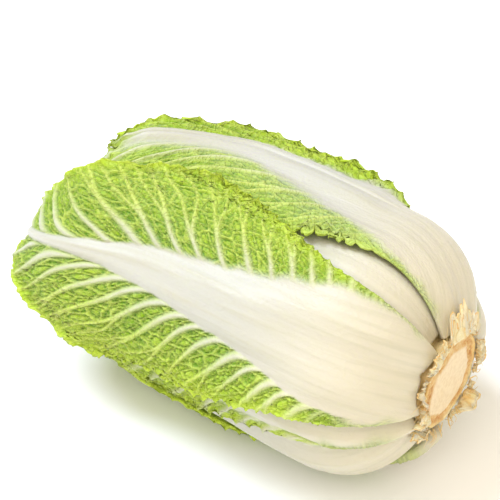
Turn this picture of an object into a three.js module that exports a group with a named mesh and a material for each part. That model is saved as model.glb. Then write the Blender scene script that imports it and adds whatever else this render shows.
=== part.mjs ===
// A whole napa cabbage lying on its side: a cut stem, the torn bases of the leaves that were
// trimmed away, and the leaves of the head, each a closed shell that wraps over the ones inside it.
// Units are millimetres. +Z is up, the head lies along X with its cut stem towards +X,
// and the origin is on the surface that it rests on, under the middle of its length and width.
import * as THREE from "three";

// ---- driving dimensions -------------------------------------------------------------------
const HEAD_RADIUS = 77.8; // outside radius of the head near its base
const REST_HEIGHT = 74.6; // from the surface up to the head's own axis
const BASE_X = 76.4; // where the barrel ends and the rounded base begins
const BASE_DEPTH = 0.79; // depth of the rounded base, as a share of a layer's height
const BASE_FULLNESS = 0.774; // under 1 makes the base's shoulder fuller than a circle
const TIP_X = -67.5; // where the barrel ends and the domed tip begins
const TIP_DEPTH = 85.6; // depth of the outermost layer's domed tip
const TIP_FILL = 0.45; // how much of that depth the innermost layers keep, so that they fill the dome
const BELLY = 0.029; // how much the barrel swells at its middle
const TAPER = 0.023; // how much the barrel narrows from base to tip
const STEM_FACE_X = 139; // the middle of the cut face of the stem
const STEM_LENGTH = 81;
const STEM_RADIUS = 30;
const STEM_ROOT_RADIUS = 7; // where the stem ends inside the head
const STEM_TAPER = 1.2; // over 1 keeps the stem stout near its cut face
const STEM_CHAMFER = 1.5;
const SAW_SLANT = 0.04; // the face leans, both towards -Y and upwards, by this slope
const SAW_SLANT_DEPTH = 20; // how far down the stem the lean dies out
const LEAF_GAP = 1.6; // air between one leaf and the next, before the stack is scaled to the head
const BUD_HEIGHT = 16; // radius of the closed bud in the middle, before the same scaling
const TORN_THICKNESS = 1.8;
const TORN_GAP = 1.6;
const TORN_RAGGED = 0.28; // how deep the notches of a torn edge are, as a share of its length

// ---- lattices ------------------------------------------------------------------------------
// v runs along the head from the stem (0) to the apex (1), angle runs round it in degrees from
// straight up towards -Y, and h is the height of a layer above the head's axis.
const BASE_V = 0.25;
const TIP_V = 0.7;
const BASE_START = 8; // degrees round the base's shoulder at v = 0
const TIP_END = 15; // degrees left round the dome at v = 1
const CELLS_ROUND = 120;
const CELLS_ALONG = 64;
const REACH = { round: 7, along: 4 }; // how far a leaf bridges over a step beneath it, in cells
const SOFTEN = { round: 4, along: 2 };
const ENVELOPE_SOFTEN = { round: 12, along: 6 };
const FULL_V = 0.75; // up to here every leaf reaches
const V_STEP = 0.002; // between the places tried for the start of a leaf
const OUTER_SEGMENTS = 8;
const INNER_SEGMENTS = 6;
const LEAF_ROWS = 16;
const STEM_SIDES = 32;
const STEM_STEPS = 10;
const BUD_SIDES = 14;
const BUD_ROWS = 9;
const BUD_START_V = 0.32; // just past the stem's inner end
const PRESSED_THICKNESS = 3; // of the leaf that the head rests on, where it is pressed flat
const PRESS_SHARPNESS = 24; // how sharply the flat turns up into the round of the head
const PRESSED_UNDER = 4; // the height under which that leaf's outside lies on the surface

// ---- leaves --------------------------------------------------------------------------------
// Outermost first. centre is the midrib's angle, near and far are how wide the two sides are, at
// the stalk and at the blade, end is the v of the tip, lift carries the tip off the head as a share
// of the layer's height, and bend turns the midrib towards the tip, in degrees.
const EVEN = [1, 1];
const OUTER_LEAVES = [
  { name: "front_leaf", centre: 52.5, near: [1, 0.8], far: [1.05, 0.84], end: 0.95, lift: 0.13, bend: 9 },
  { name: "under_leaf", centre: 186, near: EVEN, far: [0.8, 1], end: 0.87, lift: 0, bend: 0 },
  { name: "top_leaf", centre: -38, near: [1.28, 1.1], far: [0.6, 0.34], end: 0.82, lift: 0.02, bend: 40 },
  { name: "lower_front_leaf", centre: 86, near: [0.5, 0.5], far: EVEN, end: 0.93, lift: 0, bend: 0 },
  { name: "back_leaf", centre: -108, near: EVEN, far: EVEN, end: 0.93, lift: 0.03, bend: 0 },
  { name: "upper_front_leaf", centre: 14, near: EVEN, far: EVEN, end: 0.93, lift: 0, bend: 0 },
  { name: "lower_under_leaf", centre: 130, near: EVEN, far: EVEN, end: 0.93, lift: 0, bend: 0 },
  { name: "upper_back_leaf", centre: -66, near: EVEN, far: EVEN, end: 0.93, lift: 0, bend: 0 },
];
const BEND = { from: 0.55, to: 0.9 }; // the stretch of v over which a midrib turns
const LIFT = { from: 0.62, to: 1 }; // and the one over which a tip lifts
const SWEEP = new THREE.Vector3(-7, -13, -5); // how far the front leaf's tip stands away
const SWEEP_ALONG = { from: 0.72, to: 0.97 };
const SWEEP_ACROSS = { from: -0.75, to: 0.2 };
const INNER_END = { outer: 0.93, inner: 0.98 }; // v of the tips of the inner leaves
const INNER_LEAVES = 18;
const INNER_START = -150; // the midrib's angle on the first inner leaf
const GOLDEN_ANGLE = 137.5; // from one leaf's midrib to the next
const LEAF_HALF = { stalk: 31, blade: 62, from: 0.15, to: 0.68 }; // half the leaf's angle, in degrees
const LEAF_TIP = { length: 0.22, share: 0.4 }; // the rounding of a leaf's end
const INNER_WRAP = 0.35; // how much further round the innermost leaf reaches
const BLADE_THICKNESS = 1.3;
// How much thicker than the blade the midrib is, half its angle in degrees, and the stretches of v
// over which it narrows and thins. inner is how much thinner it is on the innermost leaf.
const RIB = {
  stalk: 6.2, tip: 1.5, inner: 0.45, thins: { from: 0.05, to: 0.85 },
  halfStalk: 27, halfTip: 5, narrows: { from: 0.1, to: 0.75 },
};
const RIB_SIDE = { flat: 0.35, foot: 1.15 }; // its flat top ends and its side ends, as shares of half
const TORN_BASES = [
  { centre: -22, half: 27, end: 0.055 },
  { centre: 27, half: 17, end: 0.034 },
  { centre: 62, half: 13, end: 0.026 },
  { centre: 92, half: 13, end: 0.034 },
  { centre: 128, half: 18, end: 0.036 },
  { centre: -150, half: 22, end: 0.036 },
  { centre: -95, half: 22, end: 0.042 },
];
const TORN_GRID = { rows: 4, columns: 7 };
const TORN_ROUNDING = 0.3; // how much shorter a torn base is at its two sides

const { clamp, lerp, smoothstep, degToRad } = THREE.MathUtils;
const wrapDegrees = (angle) => ((((angle + 180) % 360) + 360) % 360) - 180;

function leafList() {
  const inner = Array.from({ length: INNER_LEAVES }, (_, i) => ({
    name: "inner_leaf_" + String(i + 1).padStart(2, "0"),
    centre: INNER_START + GOLDEN_ANGLE * i,
    near: EVEN,
    far: EVEN,
    end: i < INNER_LEAVES / 2 ? INNER_END.outer : INNER_END.inner,
    lift: 0,
    bend: 0,
    depth: (i + 1) / INNER_LEAVES,
    segments: INNER_SEGMENTS,
  }));
  const outer = OUTER_LEAVES.map((leaf) => ({ ...leaf, depth: 0, segments: OUTER_SEGMENTS }));
  return [...outer, ...inner];
}

// Half the leaf's angle at v, in degrees, on the near (1) or far (-1) side: a broad stalk, then a
// wide blade with a rounded end.
function halfAngle(leaf, v, side) {
  const [stalk, blade] = side > 0 ? leaf.near : leaf.far;
  const width = smoothstep(v, LEAF_HALF.from, LEAF_HALF.to);
  const half = lerp(LEAF_HALF.stalk * stalk, LEAF_HALF.blade * blade, width);
  const left = clamp((leaf.end - v) / LEAF_TIP.length, 0, 1);
  const tip = lerp(LEAF_TIP.share, 1, Math.sqrt(left * (2 - left)));
  return half * tip * (1 + INNER_WRAP * leaf.depth);
}

function midribAngle(leaf, v) {
  return leaf.centre + leaf.bend * smoothstep(v, BEND.from, BEND.to);
}

// Thickness at an angle away from the midrib: a broad rib that narrows and thins towards the tip.
function thicknessAt(leaf, away, v) {
  const half = lerp(RIB.halfStalk, RIB.halfTip, smoothstep(v, RIB.narrows.from, RIB.narrows.to));
  const thick = lerp(RIB.stalk, RIB.tip, smoothstep(v, RIB.thins.from, RIB.thins.to));
  const share = 1 - smoothstep(Math.abs(away), RIB_SIDE.flat * half, RIB_SIDE.foot * half);
  return BLADE_THICKNESS + thick * (1 - RIB.inner * leaf.depth) * share;
}

// ---- the head's form -----------------------------------------------------------------------
// Place along X and distance from the axis, at v, of a layer of height h.
function formAt(v, h) {
  if (v < BASE_V) {
    const angle = degToRad(lerp(BASE_START, 90, v / BASE_V));
    return [BASE_X + h * BASE_DEPTH * Math.cos(angle), h * Math.sin(angle) ** BASE_FULLNESS];
  }
  if (v <= TIP_V) {
    const t = (v - BASE_V) / (TIP_V - BASE_V);
    return [lerp(BASE_X, TIP_X, t), h * (1 + BELLY * Math.sin(Math.PI * t) - TAPER * t)];
  }
  const angle = degToRad(lerp(90, TIP_END, (v - TIP_V) / (1 - TIP_V)));
  const depth = TIP_DEPTH * lerp(TIP_FILL, 1, h / HEAD_RADIUS);
  return [TIP_X - depth * Math.cos(angle), h * (1 - TAPER) * Math.sin(angle)];
}

// The stem's radius at x.
function stemRadiusAt(x) {
  const t = clamp((STEM_FACE_X - x) / STEM_LENGTH, 0, 1);
  return lerp(STEM_RADIUS, STEM_ROOT_RADIUS, t ** STEM_TAPER);
}

// ---- height fields over the head -----------------------------------------------------------
const cellIndex = (i, j) => ((i + CELLS_ROUND) % CELLS_ROUND) * CELLS_ALONG + clamp(j, 0, CELLS_ALONG - 1);

function makeField(valueAt) {
  return Float64Array.from({ length: CELLS_ROUND * CELLS_ALONG }, (_, k) => {
    const i = Math.floor(k / CELLS_ALONG);
    const j = k % CELLS_ALONG;
    return valueAt((i / CELLS_ROUND) * 360, j / (CELLS_ALONG - 1), k);
  });
}

// A field's value between its cells.
function readField(field, angle, v) {
  const round = ((((angle % 360) + 360) % 360) / 360) * CELLS_ROUND;
  const along = clamp(v, 0, 1) * (CELLS_ALONG - 1);
  const i = Math.floor(round);
  const j = Math.min(Math.floor(along), CELLS_ALONG - 2);
  const lower = lerp(field[cellIndex(i, j)], field[cellIndex(i + 1, j)], round - i);
  const upper = lerp(field[cellIndex(i, j + 1)], field[cellIndex(i + 1, j + 1)], round - i);
  return lerp(lower, upper, along - j);
}

// A window passed over a field round the head and then along it, joining what it sees.
function windowed(field, reach, join) {
  const sweep = (source, count, cellAt) =>
    source.map((_, k) => {
      const i = Math.floor(k / CELLS_ALONG);
      const j = k % CELLS_ALONG;
      return join(Array.from({ length: 2 * count + 1 }, (_, n) => source[cellAt(i, j, n - count)]));
    });
  const round = sweep(field, reach.round, (i, j, n) => cellIndex(i + n, j));
  return sweep(round, reach.along, (i, j, n) => cellIndex(i, j + n));
}

const highest = (list) => Math.max(...list);
const mean = (list) => list.reduce((sum, value) => sum + value, 0) / list.length;

// Lays the leaves on the bud from the inside out, each over the highest of what lies near it, and
// gives each leaf its inside and outside height fields. Returns the heights of the whole stack.
function stackLeaves(leaves, lifted) {
  let stack = makeField(() => BUD_HEIGHT);
  for (const leaf of [...leaves].reverse()) {
    const bridged = windowed(windowed(stack, REACH, highest), SOFTEN, mean);
    const lift = lifted ? leaf.lift : 0;
    leaf.inside = makeField((_, v, k) => {
      return (bridged[k] + LEAF_GAP) * (1 + lift * smoothstep(v, LIFT.from, LIFT.to));
    });
    leaf.outside = makeField((angle, v, k) => {
      const away = wrapDegrees(angle - midribAngle(leaf, v));
      return leaf.inside[k] + thicknessAt(leaf, away, v);
    });
    stack = makeField((angle, v, k) => {
      const away = wrapDegrees(angle - midribAngle(leaf, v));
      const covers = Math.abs(away) < halfAngle(leaf, v, away) && v < leaf.end;
      return covers ? Math.max(stack[k], leaf.outside[k]) : stack[k];
    });
  }
  return stack;
}

const leaves = leafList();
const plainStack = windowed(stackLeaves(leaves, false), ENVELOPE_SOFTEN, mean);
// What brings the stack to the head's radius. Past FULL_V the leaves end one by one.
const scale = makeField((angle, v) => HEAD_RADIUS / readField(plainStack, angle, Math.min(v, FULL_V)));
const headTop = windowed(stackLeaves(leaves, true), REACH, highest);
const restingLeaf = leaves.find((leaf) => leaf.name === "under_leaf");

// A point of the head: the stack's height h is scaled to the head, placed by its form, and the
// underside is pressed flat, up to the inside of the leaf that the head rests on.
function placePoint(angle, v, h) {
  const turn = degToRad(angle);
  const toHead = readField(scale, angle, v);
  const [x, radius] = formAt(v, h * toHead);
  const [, restingRadius] = formAt(v, readField(restingLeaf.inside, angle, v) * toHead);
  const down = Math.max(0, -Math.cos(turn) * restingRadius) / (REST_HEIGHT - PRESSED_THICKNESS);
  const press = (1 + down ** PRESS_SHARPNESS) ** (-1 / PRESS_SHARPNESS);
  return new THREE.Vector3(
    x,
    -radius * press * Math.sin(turn),
    REST_HEIGHT + radius * press * Math.cos(turn),
  );
}

// The first v at which a layer clears the stem.
function clearOfStem(angle, heightAt) {
  for (let v = 0; v < BASE_V; v += V_STEP) {
    const [x, radius] = formAt(v, heightAt(angle, v) * readField(scale, angle, v));
    if (radius > stemRadiusAt(x) + LEAF_GAP) return v;
  }
  return BASE_V;
}

// ---- solids --------------------------------------------------------------------------------
// Closes two grids of points, of rows by columns, into one shell: outside, inside and the rim.
function shellBetween(outside, inside, rows, columns) {
  const points = [...outside, ...inside];
  const faces = [];
  const quad = (a, b, c, d) => faces.push(a, b, c, a, c, d);
  const out = (r, c) => r * columns + c;
  const inn = (r, c) => rows * columns + out(r, c);
  for (let r = 0; r < rows - 1; r++) {
    for (let c = 0; c < columns - 1; c++) {
      quad(out(r, c), out(r + 1, c), out(r + 1, c + 1), out(r, c + 1));
      quad(inn(r, c), inn(r, c + 1), inn(r + 1, c + 1), inn(r + 1, c));
    }
    quad(out(r, 0), inn(r, 0), inn(r + 1, 0), out(r + 1, 0));
    quad(out(r, columns - 1), out(r + 1, columns - 1), inn(r + 1, columns - 1), inn(r, columns - 1));
  }
  for (let c = 0; c < columns - 1; c++) {
    quad(out(0, c), out(0, c + 1), inn(0, c + 1), inn(0, c));
    quad(out(rows - 1, c), inn(rows - 1, c), inn(rows - 1, c + 1), out(rows - 1, c + 1));
  }
  return indexedGeometry(points, faces);
}

function indexedGeometry(points, faces) {
  const geometry = new THREE.BufferGeometry().setFromPoints(points);
  geometry.setIndex(faces);
  geometry.computeVertexNormals();
  return geometry;
}

// A leaf's shell. Each column runs from just clear of the stem to the leaf's end.
function leafGeometry(leaf) {
  const columns = leaf.segments + 1;
  const outside = [];
  const inside = [];
  for (let r = 0; r < LEAF_ROWS; r++) {
    for (let c = 0; c < columns; c++) {
      const across = (2 * c) / leaf.segments - 1;
      const start = leafStart(leaf, across);
      const v = lerp(start, leaf.end, r / (LEAF_ROWS - 1));
      const angle = midribAngle(leaf, v) + across * halfAngle(leaf, v, across);
      const away = sweepAt(leaf, across, v);
      outside.push(pressed(leaf, placePoint(angle, v, readField(leaf.outside, angle, v))).add(away));
      inside.push(placePoint(angle, v, readField(leaf.inside, angle, v)).add(away));
    }
  }
  return shellBetween(outside, inside, LEAF_ROWS, columns);
}

function leafStart(leaf, across) {
  const angle = leaf.centre + across * LEAF_HALF.stalk * (across > 0 ? leaf.near[0] : leaf.far[0]);
  return clearOfStem(angle, (a, v) => readField(leaf.inside, a, v));
}

// The front leaf's tip stands away from the head, most of all on the near side of its midrib.
function sweepAt(leaf, across, v) {
  if (leaf.name !== "front_leaf") return new THREE.Vector3();
  const along = smoothstep(v, SWEEP_ALONG.from, SWEEP_ALONG.to);
  const sideways = smoothstep(across, SWEEP_ACROSS.from, SWEEP_ACROSS.to);
  return SWEEP.clone().multiplyScalar(along * sideways);
}

// The leaf that the head rests on lies flat on the surface.
function pressed(leaf, point) {
  if (leaf === restingLeaf && point.z < PRESSED_UNDER) point.z = 0;
  return point;
}

// The bud: rings of points along the middle, closed by a point at each end.
function budGeometry() {
  const rows = Array.from({ length: BUD_ROWS }, (_, r) => lerp(BUD_START_V, 1, r / (BUD_ROWS - 1)));
  const points = [];
  for (const v of rows) {
    for (let s = 0; s < BUD_SIDES; s++) points.push(placePoint((s / BUD_SIDES) * 360, v, BUD_HEIGHT));
  }
  const faces = [];
  for (let r = 0; r < rows.length - 1; r++) {
    for (let s = 0; s < BUD_SIDES; s++) {
      const [a, b] = [r * BUD_SIDES + s, r * BUD_SIDES + ((s + 1) % BUD_SIDES)];
      faces.push(a, a + BUD_SIDES, b + BUD_SIDES, a, b + BUD_SIDES, b);
    }
  }
  for (const [row, flip] of [[0, false], [rows.length - 1, true]]) {
    const ring = points.slice(row * BUD_SIDES, (row + 1) * BUD_SIDES);
    const middle = ring.reduce((sum, p) => sum.add(p), new THREE.Vector3()).divideScalar(BUD_SIDES);
    const hub = points.push(middle) - 1;
    for (let s = 0; s < BUD_SIDES; s++) {
      const [a, b] = [row * BUD_SIDES + s, row * BUD_SIDES + ((s + 1) % BUD_SIDES)];
      faces.push(hub, flip ? b : a, flip ? a : b);
    }
  }
  return indexedGeometry(points, faces);
}

// The stem: a stout cone turned about the head's axis, with its sawn face at +X, a little aslant.
function stemGeometry() {
  const profile = [new THREE.Vector2(0, STEM_FACE_X - STEM_LENGTH)];
  for (let i = 0; i <= STEM_STEPS; i++) {
    const x = STEM_FACE_X - STEM_CHAMFER - (1 - i / STEM_STEPS) * (STEM_LENGTH - STEM_CHAMFER);
    profile.push(new THREE.Vector2(stemRadiusAt(x), x));
  }
  profile.push(new THREE.Vector2(STEM_RADIUS - STEM_CHAMFER, STEM_FACE_X));
  profile.push(new THREE.Vector2(0, STEM_FACE_X));
  const geometry = new THREE.LatheGeometry(profile, STEM_SIDES);
  const points = geometry.getAttribute("position");
  for (let i = 0; i < points.count; i++) {
    const share = smoothstep(points.getY(i), STEM_FACE_X - SAW_SLANT_DEPTH, STEM_FACE_X - STEM_CHAMFER);
    points.setY(i, points.getY(i) + share * SAW_SLANT * (points.getX(i) + points.getZ(i)));
  }
  return geometry;
}

const highestNear = (angle, v) => readField(headTop, angle, v);

// A torn base: a short scale that lies over the leaves close round the stem, with a ragged edge.
function tornGeometry(torn) {
  const { rows, columns } = TORN_GRID;
  const outside = [];
  const inside = [];
  for (let r = 0; r < rows; r++) {
    for (let c = 0; c < columns; c++) {
      const across = (2 * c) / (columns - 1) - 1;
      const angle = torn.centre + across * torn.half;
      const under = (a, v) => highestNear(a, v) + TORN_GAP;
      const start = clearOfStem(angle, under);
      const ragged = 1 - TORN_RAGGED * (c % 2) - TORN_ROUNDING * across * across;
      const v = start + (torn.end * ragged * r) / (rows - 1);
      outside.push(placePoint(angle, v, under(angle, v) + TORN_THICKNESS));
      inside.push(placePoint(angle, v, under(angle, v)));
    }
  }
  return shellBetween(outside, inside, rows, columns);
}

// ---- assembly ------------------------------------------------------------------------------
const head = new THREE.Group();

function addPiece(name, geometry, color, roughness) {
  const material = new THREE.MeshStandardMaterial({ color, roughness, metalness: 0 });
  const mesh = new THREE.Mesh(geometry, material);
  mesh.name = name;
  head.add(mesh);
  return mesh;
}

const stem = addPiece("stem", stemGeometry(), "#e9d8b4", 0.75);
stem.rotation.z = -Math.PI / 2;
stem.position.z = REST_HEIGHT;
addPiece("bud", budGeometry(), "#f2efb8", 0.55);
for (const leaf of leaves) {
  addPiece(leaf.name, leafGeometry(leaf), leaf.depth === 0 ? "#cfe08e" : "#edf0b4", 0.5);
}
TORN_BASES.forEach((torn, i) => {
  addPiece("torn_leaf_base_" + (i + 1), tornGeometry(torn), "#efe2bf", 0.65);
});

// The origin is under the middle of the head's length and width.
const middle = new THREE.Box3().setFromObject(head).getCenter(new THREE.Vector3());
head.position.set(-middle.x, -middle.y, 0);

export default head;
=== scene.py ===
"""A napa cabbage lying on its side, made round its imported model.

The head is worked out as layers. A point of it has v, which runs along the head from the stem (0)
to the apex (1), an angle round the head's axis in degrees from straight up towards -Y, and a
height h of its layer above the axis. Lengths are in millimetres until a mesh is made.
"""

import math

import bpy
import numpy as np
from bpy.props import FloatProperty, FloatVectorProperty, PointerProperty
from mathutils import Matrix, Vector


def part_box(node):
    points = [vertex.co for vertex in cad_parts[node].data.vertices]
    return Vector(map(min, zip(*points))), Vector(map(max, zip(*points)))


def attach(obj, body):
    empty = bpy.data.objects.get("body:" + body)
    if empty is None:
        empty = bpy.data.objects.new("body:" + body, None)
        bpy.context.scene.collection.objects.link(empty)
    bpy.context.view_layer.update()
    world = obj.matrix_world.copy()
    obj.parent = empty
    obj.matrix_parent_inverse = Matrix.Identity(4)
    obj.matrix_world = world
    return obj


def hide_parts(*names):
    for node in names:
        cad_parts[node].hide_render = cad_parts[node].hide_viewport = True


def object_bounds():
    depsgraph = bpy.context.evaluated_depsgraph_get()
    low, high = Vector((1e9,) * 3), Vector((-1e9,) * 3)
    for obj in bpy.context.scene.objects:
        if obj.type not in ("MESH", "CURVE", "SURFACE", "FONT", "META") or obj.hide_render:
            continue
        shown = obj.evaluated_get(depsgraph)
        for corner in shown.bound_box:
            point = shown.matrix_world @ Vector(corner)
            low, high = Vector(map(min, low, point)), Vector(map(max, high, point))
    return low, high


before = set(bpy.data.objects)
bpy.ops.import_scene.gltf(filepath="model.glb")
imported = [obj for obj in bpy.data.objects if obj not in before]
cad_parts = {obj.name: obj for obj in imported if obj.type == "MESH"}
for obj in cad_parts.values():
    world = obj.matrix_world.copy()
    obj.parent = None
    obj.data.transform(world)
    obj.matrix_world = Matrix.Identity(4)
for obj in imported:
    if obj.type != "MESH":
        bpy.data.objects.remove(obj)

bl_info = {
    "name": "Napa Cabbage",
    "version": (1, 0, 0),
    "blender": (4, 5, 0),
    "location": "View3D > Sidebar > Cabbage",
    "description": "Leaves, stem and stage of a cut head of napa cabbage",
    "category": "Add Mesh",
}

# ---- the frame -----------------------------------------------------------------------------
MM = 0.001  # metres in a millimetre
CAD_LOW, CAD_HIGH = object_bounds()
STEM_LOW, STEM_HIGH = (np.array(corner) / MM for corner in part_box("stem"))
AXIS_Y = (STEM_LOW[1] + STEM_HIGH[1]) / 2
AXIS_Z = (STEM_LOW[2] + STEM_HIGH[2]) / 2
STEM_RADIUS = (STEM_HIGH[2] - STEM_LOW[2]) / 2
SAW_SLANT = 0.04  # the cut face leans, both towards -Y and upwards, by this slope
SAW_SLANT_DEPTH = 20.0  # how far down the stem the lean dies out
STEM_CHAMFER = 1.5
STEM_FACE_X = STEM_HIGH[0] - SAW_SLANT * math.sqrt(2) * (STEM_RADIUS - STEM_CHAMFER)
STEM_LENGTH = STEM_FACE_X - STEM_LOW[0]

# ---- the head's form -----------------------------------------------------------------------
HEAD_SHARE = 0.956  # of the height over the axis: midribs and lifted leaves stand out past it
HEAD_RADIUS = HEAD_SHARE * (CAD_HIGH.z / MM - AXIS_Z)
BASE_X = STEM_FACE_X - 62.6  # where the barrel ends and the rounded base begins
BASE_DEPTH = 0.79
BASE_FULLNESS = 0.774
TIP_X = STEM_FACE_X - 206.5  # where the barrel ends and the domed tip begins
TIP_DEPTH = 1.1 * HEAD_RADIUS
TIP_FILL = 0.45
BELLY = 0.029
TAPER = 0.023
STEM_ROOT_RADIUS = 7.0
STEM_TAPER = 1.2
LEAF_GAP = 1.6
BUD_HEIGHT = 16.0
BASE_V, TIP_V = 0.25, 0.7
BASE_START, TIP_END = 8.0, 15.0  # degrees left at the two ends of the head
FULL_V = 0.75  # up to here every leaf reaches
PRESSED_THICKNESS = 3.0
PRESS_SHARPNESS = 24.0
MM_PER_V = 330.0  # about how far along the head one unit of v goes

# ---- leaves --------------------------------------------------------------------------------
# A leaf states its node, the angle of its midrib, the v of its tip (end), its rows and columns
# (grid), and what differs from this. The near side is the one with the larger angles.
PLAIN_LEAF = dict(
    near=(1, 1),  # how wide the near side is at the stalk and at the blade
    far=(1, 1),
    depth=0.0,  # 0 for the outer leaves, and 1 for the one next to the bud
    lift=0.0,  # how far the tip stands off
    sweep=0.0,  # how far the tip is swept aside
    bend=0,  # how many degrees the midrib bends towards the tip
    droop=(0, 0),  # how far the near and far sides of the tip draw back
    flare=0.0,  # how far the far margin stands out
    lip=0.0,  # how far the margin of the tip stands out
    frill=1.0,  # how ruffled the margin is
    even=0.0,  # how close the midrib stays to one width
    lean=1.0,  # how much the veins lean
    spread=1.0,  # how far apart the veins stand
    pale=(1, 1),  # how broad the white of the near and far sides is
    faded=0.0,  # how far the near blade fades beside the white
    hem=2.5,  # how broad the green hem of the stalk is
)
# Outermost first.
OUTER_LEAVES = [
    dict(node="front_leaf", centre=52.5, near=(1, 0.8), far=(1.05, 0.84), end=0.97, lift=0.13, bend=9,
         sweep=1.0, droop=(0.28, 0.44), lip=4.5, pale=(0.9, 1.12), grid=(290, 250)),
    dict(node="under_leaf", centre=186, far=(0.8, 1), end=0.87, pale=(1, 1.4), grid=(170, 150)),
    dict(node="top_leaf", centre=-36, near=(1.22, 1.07), far=(0.66, 0.33), end=0.8, lift=0.02, bend=50,
         flare=15, frill=1.4, lean=1.9, spread=1.6, pale=(1.35, 1), faded=0.2, hem=3, grid=(270, 240)),
    dict(node="lower_front_leaf", centre=86, near=(0.5, 0.5), end=0.94, flare=3, even=0.7, hem=4.5,
         grid=(260, 220)),
    dict(node="back_leaf", centre=-108, end=0.94, lift=0.03, flare=3, grid=(250, 220)),
    dict(node="upper_front_leaf", centre=14, end=0.94, even=0.3, grid=(220, 200)),
    dict(node="lower_under_leaf", centre=130, end=0.93, flare=3, even=0.8, grid=(220, 190)),
    dict(node="upper_back_leaf", centre=-66, end=0.93, flare=2, grid=(220, 200)),
]
INNER_LEAVES = 18
INNER_START = -150
INNER_ENDS = (0.94, 0.985)  # v of the tips of the outer half and the inner half of them
FINER_INNER_LEAVES = 6  # the outermost ones, which have the finer of the two grids
INNER_GRIDS = ((150, 110), (90, 60))
GOLDEN_ANGLE = 137.5
LEAF_HALF_STALK, LEAF_HALF_BLADE = 31.0, 62.0  # half the leaf's angle
WIDENS_V = (0.15, 0.68)  # where the stalk widens into the blade
BEND_V = (0.55, 0.9)
LIFT_V = (0.62, 1.0)
SWEEP_V = (0.72, 0.97)
TIP_SWEEP = (-7.0, -13.0, -5.0)
TIP_DROOP = 0.3  # how much of v the side of the blade stops short of the tip
INNER_WRAP = 0.35
BLADE_THICKNESS = 1.3
MARGIN_THICKNESS = 0.8
RIB_STALK, RIB_TIP = 6.2, 1.5  # how much thicker than the blade the midrib is
RIB_THINS_V = (0.05, 0.85)
RIB_SIDE = (0.3, 1.1)  # where the midrib's thickness falls away, as shares of its half width
INNER_THINNING = 0.45
INNER_NARROWING = 0.3
# Half the midrib's width on the outside of a leaf, in millimetres, at these v.
RIB_V = [0.0, 0.12, 0.2, 0.3, 0.4, 0.5, 0.6, 0.7, 0.8, 0.95]
RIB_HALF = [24, 35, 35, 28, 20, 15.5, 11.4, 6.5, 3.4, 1.5]
EVEN_HALF = 18.0

# ---- height fields -------------------------------------------------------------------------
ROUND, ALONG = 240, 150  # cells round and along the head
BRIDGE = (6, 4)
SOFTEN = (5, 3)
COVER_SOFTEN = (3, 2)
ENVELOPE_SOFTEN = (24, 14)
FIELD_ANGLE = np.arange(ROUND)[:, None] * (360.0 / ROUND)
FIELD_V = np.linspace(0, 1, ALONG)[None, :]


def smoothstep(x, low, high):
    """0 below low, 1 above high, and 3t^2 - 2t^3 between them."""
    t = np.clip((x - low) / (high - low), 0, 1)
    return t * t * (3 - 2 * t)


def mix(a, b, t):
    return a + (b - a) * t


def stacked(*parts):
    """Arrays brought to one shape, side by side along a last axis of their own."""
    return np.stack(np.broadcast_arrays(*parts), -1)


def wrap(angle):
    """The same angle from -180 to 180 degrees."""
    return (angle + 180) % 360 - 180


def form(v, h):
    """Place along X and radius of a layer: a rounded base, whose x goes as the cosine and whose
    radius as a power of the sine of an angle, then a barrel with a slight belly, then a dome."""
    angle = np.radians(mix(BASE_START, 90, np.clip(v / BASE_V, 0, 1)))
    t = np.clip((v - BASE_V) / (TIP_V - BASE_V), 0, 1)
    dome = np.radians(mix(90, TIP_END, np.clip((v - TIP_V) / (1 - TIP_V), 0, 1)))
    depth = TIP_DEPTH * mix(TIP_FILL, 1, h / HEAD_RADIUS)
    x = np.where(
        v < BASE_V,
        BASE_X + h * BASE_DEPTH * np.cos(angle),
        np.where(v <= TIP_V, mix(BASE_X, TIP_X, t), TIP_X - depth * np.cos(dome)),
    )
    radius = h * np.sin(angle) ** BASE_FULLNESS
    radius = radius * (1 + BELLY * np.sin(np.pi * t) - TAPER * t) * np.sin(dome)
    return x, radius


def round_axis(x, radius, turn):
    """Points at a distance from the head's axis, turned from straight up towards -Y."""
    return stacked(x, AXIS_Y - radius * np.sin(turn), AXIS_Z + radius * np.cos(turn))


def stem_radius(x):
    """The stem is a cone that widens to its cut face, stoutest near the face."""
    t = np.clip((STEM_FACE_X - x) / STEM_LENGTH, 0, 1)
    return mix(STEM_RADIUS, STEM_ROOT_RADIUS, t**STEM_TAPER)


def read(field, angle, v):
    """A field's value between its cells, by linear interpolation both ways."""
    a = (np.asarray(angle) % 360) * (ROUND / 360)
    b = np.clip(v, 0, 1) * (ALONG - 1)
    i, j = np.floor(a).astype(int) % ROUND, np.minimum(b.astype(int), ALONG - 2)
    s, t = a - np.floor(a), b - j
    k = (i + 1) % ROUND
    low = mix(field[i, j], field[k, j], s)
    high = mix(field[i, j + 1], field[k, j + 1], s)
    return mix(low, high, t)


def windowed(field, reach, join):
    """Each cell joined with those up to reach away, first round the head and then along it."""
    turned = join([np.roll(field, n, axis=0) for n in range(-reach[0], reach[0] + 1)])
    padded = np.pad(turned, ((0, 0), (reach[1], reach[1])), mode="edge")
    return join([padded[:, n : n + ALONG] for n in range(2 * reach[1] + 1)])


def highest(fields):
    return np.max(fields, axis=0)


def average(fields):
    return np.mean(fields, axis=0)


# ---- noise ---------------------------------------------------------------------------------
def hashed(i, j, seed):
    """A number from 0 to 1 for each pair of whole numbers."""
    n = np.sin(i * 127.1 + j * 311.7 + seed * 74.7) * 43758.5453
    return n - np.floor(n)


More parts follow.
